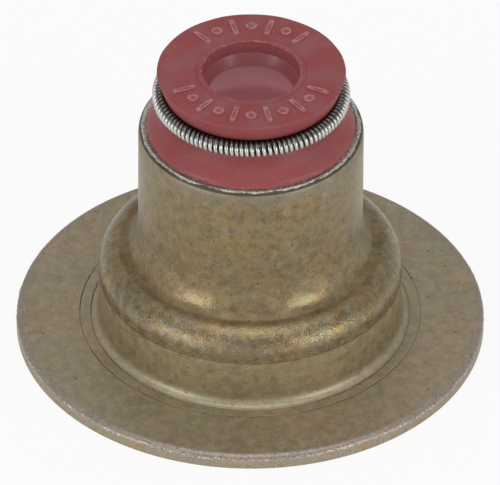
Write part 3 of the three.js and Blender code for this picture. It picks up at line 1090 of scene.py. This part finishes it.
class SEAL_OT_shell(bpy.types.Operator):
    """Makes the pressed steel shell with its spring seat"""

    bl_idname = "seal.shell"
    bl_label = "Steel shell"

    def execute(self, context):
        sizes = context.scene.seal_shell

        def roughen(radius, height, angle):
            rim = near(radius, height, FLANGE_RADIUS, SHEET - sizes.roll_height, BURR_REACH)
            fine, broad, lift = RIM_SEEDS
            teeth = jagged(angle, 620, fine) + 0.6 * jagged(angle, 170, broad)
            radius = radius + rim * sizes.rim_burr * teeth
            height = height + rim * sizes.rim_burr * (0.5 + jagged(angle, 400, lift))
            edge_radius = NECK_RADIUS - sizes.neck_edge_width
            neck = near(radius, height, edge_radius, SHELL_TOP, BURR_REACH)
            fine, broad = NECK_SEEDS
            rise = 0.4 + 0.5 * jagged(angle, 300, fine) + 0.4 * jagged(angle, 90, broad)
            height = height + neck * sizes.neck_burr * rise
            flat = near(height, 0 * height, SHEET, 0, 0.2 * MM)
            height = height + sizes.flange_waves * flat * jagged(angle, 24, FLANGE_SEED)
            return radius, height

        shell = revolve("shell_skin", shell_outline(sizes), sizes.sides, roughen)
        colours = context.scene.seal_finish
        steel = material_named("Passivated_steel", passivated_steel, colours, sizes)
        dress(shell, steel, "steel_shell")
        return {"FINISHED"}


class SEAL_OT_rubber(bpy.types.Operator):
    """Makes the moulded rubber body with its lip, groove, skirt and lining"""

    bl_idname = "seal.rubber"
    bl_label = "Rubber body"

    def execute(self, context):
        sizes = context.scene.seal_rubber

        def roughen(radius, height, angle):
            edge = near(radius, height, sizes.head_radius, HEAD_TOP, HEAD_WAVE_REACH)
            radius = radius + sizes.head_waves * edge * jagged(angle, 40, HEAD_SEED)
            foot = near(radius, height, RIM_RADIUS, SHELL_TOP + 0.08 * MM, SKIRT_RAG_REACH)
            fine, broad = SKIRT_SEEDS
            ragged = jagged(angle, 260, fine) + 0.8 * jagged(angle, 60, broad)
            radius = radius + sizes.skirt_rag * foot * (ragged - 0.8)
            return radius, height

        rubber = revolve("rubber_skin", rubber_outline(sizes), sizes.sides, roughen)
        red = material_named("Red_rubber", red_rubber, context.scene.seal_finish, sizes)
        dress(rubber, red, "seal_body")
        return {"FINISHED"}


class SEAL_OT_marks(bpy.types.Operator):
    """Makes the plain raised marks on top of the head"""

    bl_idname = "seal.marks"
    bl_label = "Raised marks"

    def execute(self, context):
        sizes = context.scene.seal_marks
        red = material_named("Red_rubber", red_rubber, context.scene.seal_finish,
                             context.scene.seal_rubber)
        tree = mark_tree()
        for name, (first, last, count) in MARK_ARCS.items():
            marks = grown(name, tree, {
                "Arc Radius": sizes.radius, "Height": HEAD_TOP, "First Angle": math.radians(first),
                "Last Angle": math.radians(last), "Count": count, "Bar Length": sizes.bar_length,
                "Bar Width": sizes.bar_width, "Dot Radius": sizes.dot_radius,
                "Rise": sizes.height, "Material": red,
            })
            dress(marks, red)
        return {"FINISHED"}


class SEAL_OT_spring(bpy.types.Operator):
    """Makes the garter spring in its groove"""

    bl_idname = "seal.spring"
    bl_label = "Garter spring"

    def execute(self, context):
        sizes = context.scene.seal_spring
        wire = material_named("Spring_wire", spring_wire, context.scene.seal_finish)
        spring = grown("coil_skin", coil_tree(), {
            "Ring Radius": SPRING_RADIUS, "Ring Height": SPRING_Z,
            "Coil Diameter": COIL_DIAMETER, "Wire Diameter": sizes.wire,
            "Turns": sizes.turns, "Steps": sizes.steps, "Wire Sides": sizes.wire_sides,
            "Joint Angle": sizes.joint_angle, "Joint Shift": sizes.joint_shift,
            "Joint Turns": sizes.joint_turns, "Unevenness": sizes.unevenness, "Material": wire,
        })
        dress(spring, wire, "garter_spring")
        return {"FINISHED"}


def add_lamp(name, place, size, power):
    """A square soft lamp that looks from its place at the middle of the seal."""
    light = bpy.data.lights.new(name, "AREA")
    light.shape = "SQUARE"
    light.size = size
    light.energy = power
    lamp = bpy.data.objects.new(name, light)
    bpy.context.scene.collection.objects.link(lamp)
    lamp.location = place
    lamp.rotation_euler = (LAMP_AIM - Vector(place)).to_track_quat("-Z", "Y").to_euler()
    return lamp


class SEAL_OT_stage(bpy.types.Operator):
    """Makes the floor, the soft lamps, the world and the camera"""

    bl_idname = "seal.stage"
    bl_label = "Stage"

    def execute(self, context):
        scene = context.scene
        stage = scene.seal_stage
        self.make_floor(stage, scene.seal_finish)
        self.make_world(scene)
        self.make_lamps()
        self.make_camera(scene, stage)
        scene.view_settings.view_transform = "Standard"
        return {"FINISHED"}

    def make_floor(self, stage, colours):
        """A pale floor that keeps the seal's shadow and looks white to the camera."""
        half = stage.floor_size / 2
        mesh = bpy.data.meshes.new("floor")
        corners = [(-half, -half, 0), (half, -half, 0), (half, half, 0), (-half, half, 0)]
        mesh.from_pydata(corners, [], [(0, 1, 2, 3)])
        floor = add_piece("floor", mesh)
        material, tree, shader, _ = new_material("Pale_floor")
        shader.inputs["Base Color"].default_value = rgba(colours.floor)
        shader.inputs["Roughness"].default_value = 1.0
        shader.inputs["Specular IOR Level"].default_value = 0.0
        white = tree.nodes.new("ShaderNodeEmission")
        rays = tree.nodes.new("ShaderNodeLightPath").outputs
        seen = worked(tree, "MULTIPLY", rays["Is Camera Ray"], FLOOR_WHITE_SEEN)
        mirrored = worked(tree, "MULTIPLY", rays["Is Glossy Ray"], FLOOR_WHITE_MIRRORED)
        mix = tree.nodes.new("ShaderNodeMixShader")
        put(tree, mix.inputs["Fac"], worked(tree, "ADD", seen, mirrored))
        tree.links.new(shader.outputs["BSDF"], mix.inputs[1])
        tree.links.new(white.outputs["Emission"], mix.inputs[2])
        output = next(n for n in tree.nodes if n.type == "OUTPUT_MATERIAL")
        tree.links.new(mix.outputs["Shader"], output.inputs["Surface"])
        mesh.materials.append(material)

    def make_world(self, scene):
        """Even pale light from all round."""
        world = bpy.data.worlds.new("Studio")
        world.use_nodes = True
        background = world.node_tree.nodes["Background"]
        background.inputs["Color"].default_value = (1, 1, 1, 1)
        background.inputs["Strength"].default_value = WORLD_STRENGTH
        scene.world = world

    def make_lamps(self):
        """Two soft lamps low in front, left and right, one above, and a small one in the bore."""
        for name, (place, size, power) in LAMPS.items():
            lamp = add_lamp(name, place, size, power)
            lamp.visible_camera = name not in UNSEEN_LAMPS

    def make_camera(self, scene, stage):
        """A long lens at the photograph's angle."""
        data = bpy.data.cameras.new("camera")
        data.lens = data.sensor_width * stage.distance / stage.frame_width
        data.clip_start = 0.01
        data.clip_end = 10
        camera = bpy.data.objects.new("camera", data)
        scene.collection.objects.link(camera)
        back = stage.distance * math.cos(stage.elevation)
        up = stage.distance * math.sin(stage.elevation)
        camera.location = (stage.aim_side, -back, stage.aim_height + up)
        tilt = Matrix.Rotation(math.pi / 2 - stage.elevation, 3, "X")
        camera.rotation_euler = (tilt @ Matrix.Rotation(stage.roll, 3, "Z")).to_euler()
        scene.camera = camera


class SEAL_PT_panel(bpy.types.Panel):
    """Lists what this add-on makes"""

    bl_label = "Valve stem seal"
    bl_idname = "SEAL_PT_panel"
    bl_space_type = "VIEW_3D"
    bl_region_type = "UI"
    bl_category = "Seal"

    def draw(self, context):
        for operator in OPERATORS:
            self.layout.operator(operator.bl_idname)


GROUPS = {
    "seal_shell": ShellSizes,
    "seal_rubber": RubberSizes,
    "seal_spring": SpringSizes,
    "seal_marks": MarkSizes,
    "seal_finish": FinishColours,
    "seal_stage": StageSizes,
}
OPERATORS = (SEAL_OT_shell, SEAL_OT_rubber, SEAL_OT_marks, SEAL_OT_spring, SEAL_OT_stage)


def register():
    for name, group in GROUPS.items():
        bpy.utils.register_class(group)
        setattr(bpy.types.Scene, name, bpy.props.PointerProperty(type=group))
    for operator in (*OPERATORS, SEAL_PT_panel):
        bpy.utils.register_class(operator)


def unregister():
    for operator in reversed((*OPERATORS, SEAL_PT_panel)):
        bpy.utils.unregister_class(operator)
    for name, group in reversed(GROUPS.items()):
        delattr(bpy.types.Scene, name)
        bpy.utils.unregister_class(group)


def main():
    """Makes the whole seal and its stage."""
    register()
    bpy.ops.seal.shell()
    bpy.ops.seal.rubber()
    bpy.ops.seal.marks()
    bpy.ops.seal.spring()
    bpy.ops.seal.stage()


if __name__ == "__main__":
    main()
